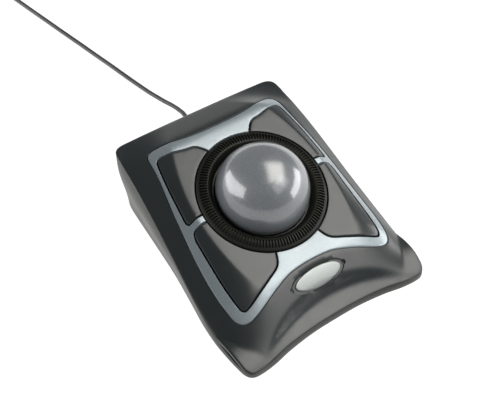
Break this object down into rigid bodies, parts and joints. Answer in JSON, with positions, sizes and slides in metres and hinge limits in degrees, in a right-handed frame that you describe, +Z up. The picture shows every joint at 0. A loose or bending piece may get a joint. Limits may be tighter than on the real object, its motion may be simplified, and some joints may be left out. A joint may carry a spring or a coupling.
{
  "type": "trackball mouse",
  "caption": "Desktop trackball mouse with a large ball in a knurled scroll ring, corner buttons, a bright frame, a sloping case and a coiled USB lead.",
  "frame": {"origin": "middle of the case's footprint, on the surface it stands on; the lead, its coil and its plug are left out of that footprint", "axes": "+X to the user's right, +Y away from the user towards the lead's exit, +Z up"},
  "size_m": [0.1316, 0.4066, 0.0665],
  "materials": {
    "cover_plastic": "satin",
    "case_plastic": "satin",
    "bezel_silver": "satin metallic paint",
    "badge_metal": "brushed",
    "ring_rubberised": "matte",
    "ball_resin": "polished",
    "inner_plastic": "matte",
    "slide_acetal": "satin",
    "steel": "bright",
    "circuit_board": "satin",
    "chip_black": "matte",
    "lens_red": "clear",
    "plunger_red": "gloss",
    "ribbon_grey": "satin",
    "foot_rubber": "matte",
    "cord_rubber": "satin"
  },
  "bodies": {
    "case": {"top_cover": "cover_plastic", "bottom_case": "case_plastic", "bezel_frame": "bezel_silver", "badge": "badge_metal", "ball_socket": "inner_plastic", "button_carrier": "inner_plastic", "ring_track": "slide_acetal", "cable_connector": "slide_acetal", "usb_plug_tongue": "slide_acetal", "bearing_ball_1": "steel", "bearing_ball_2": "steel", "bearing_ball_3": "steel", "case_screw_1": "steel", "case_screw_2": "steel", "case_screw_3": "steel", "case_screw_4": "steel", "socket_screw_1": "steel", "socket_screw_2": "steel", "socket_screw_3": "steel", "board_screw_1": "steel", "board_screw_2": "steel", "hinge_pin_front_left": "steel", "hinge_pin_front_right": "steel", "hinge_pin_rear_left": "steel", "hinge_pin_rear_right": "steel", "usb_plug_shell": "steel", "main_board": "circuit_board", "upper_board": "circuit_board", "sensor_chip": "chip_black", "controller_chip": "chip_black", "ring_encoder": "chip_black", "switch_front_left": "chip_black", "switch_front_right": "chip_black", "switch_rear_left": "chip_black", "switch_rear_right": "chip_black", "sensor_window": "lens_red", "sensor_lamp": "lens_red", "board_ribbon": "ribbon_grey", "foot_1": "foot_rubber", "foot_2": "foot_rubber", "foot_3": "foot_rubber", "foot_4": "foot_rubber", "strain_relief": "cord_rubber", "inner_cable": "cord_rubber", "cable_lead": "cord_rubber", "cable_tail": "cord_rubber", "cable_coil": "cord_rubber", "coil_tie": "cord_rubber", "usb_plug_grip": "cord_rubber"},
    "ball": {"trackball": "ball_resin"},
    "ring": {"scroll_ring": "ring_rubberised", "encoder_crown": "inner_plastic"},
    "button_front_right": {"button_front_right": "cover_plastic"},
    "plunger_front_right": {"plunger_front_right": "plunger_red"},
    "button_front_left": {"button_front_left": "cover_plastic"},
    "plunger_front_left": {"plunger_front_left": "plunger_red"},
    "button_rear_right": {"button_rear_right": "cover_plastic"},
    "plunger_rear_right": {"plunger_rear_right": "plunger_red"},
    "button_rear_left": {"button_rear_left": "cover_plastic"},
    "plunger_rear_left": {"plunger_rear_left": "plunger_red"}
  },
  "joints": [
    {"name": "ball_roll", "type": "hinge", "parent": "case", "child": "ball", "pos_m": [0, 0.00363, 0.03904], "axis": [1, 0, 0], "continuous": true},
    {"name": "ring_turn", "type": "hinge", "parent": "case", "child": "ring", "pos_m": [0, 0.0038, 0.0384], "axis": [0, -0.2516, 0.9678], "continuous": true},
    {"name": "press_front_right", "type": "hinge", "parent": "case", "child": "button_front_right", "pos_m": [0.03094, -0.02128, 0.02796], "axis": [0.6561, 0.7304, 0.1899], "range_deg": [0, 2.2], "stiffness_Nm_per_rad": 0.35, "springref_deg": -3.44},
    {"name": "plunge_front_right", "type": "slide", "parent": "case", "child": "plunger_front_right", "axis": [0, 0.2516, -0.9678], "range_m": [0, 0.0004]},
    {"name": "press_front_left", "type": "hinge", "parent": "case", "child": "button_front_left", "pos_m": [-0.03094, -0.02128, 0.02796], "axis": [0.6561, -0.7304, -0.1899], "range_deg": [0, 2.2], "stiffness_Nm_per_rad": 0.35, "springref_deg": -3.44},
    {"name": "plunge_front_left", "type": "slide", "parent": "case", "child": "plunger_front_left", "axis": [0, 0.2516, -0.9678], "range_m": [0, 0.0004]},
    {"name": "press_rear_right", "type": "hinge", "parent": "case", "child": "button_rear_right", "pos_m": [0.03047, 0.03131, 0.04162], "axis": [-0.6691, 0.7192, 0.1869], "range_deg": [0, 2.2], "stiffness_Nm_per_rad": 0.35, "springref_deg": -3.44},
    {"name": "plunge_rear_right", "type": "slide", "parent": "case", "child": "plunger_rear_right", "axis": [0, 0.2516, -0.9678], "range_m": [0, 0.0004]},
    {"name": "press_rear_left", "type": "hinge", "parent": "case", "child": "button_rear_left", "pos_m": [-0.03047, 0.03131, 0.04162], "axis": [-0.6691, -0.7192, -0.1869], "range_deg": [0, 2.2], "stiffness_Nm_per_rad": 0.35, "springref_deg": -3.44},
    {"name": "plunge_rear_left", "type": "slide", "parent": "case", "child": "plunger_rear_left", "axis": [0, 0.2516, -0.9678], "range_m": [0, 0.0004]}
  ],
  "couplings": [
    {"joint": "plunge_front_right", "follows": "press_front_right", "m_per_rad": 0.009},
    {"joint": "plunge_front_left", "follows": "press_front_left", "m_per_rad": 0.009},
    {"joint": "plunge_rear_right", "follows": "press_rear_right", "m_per_rad": 0.009},
    {"joint": "plunge_rear_left", "follows": "press_rear_left", "m_per_rad": 0.009}
  ]
}
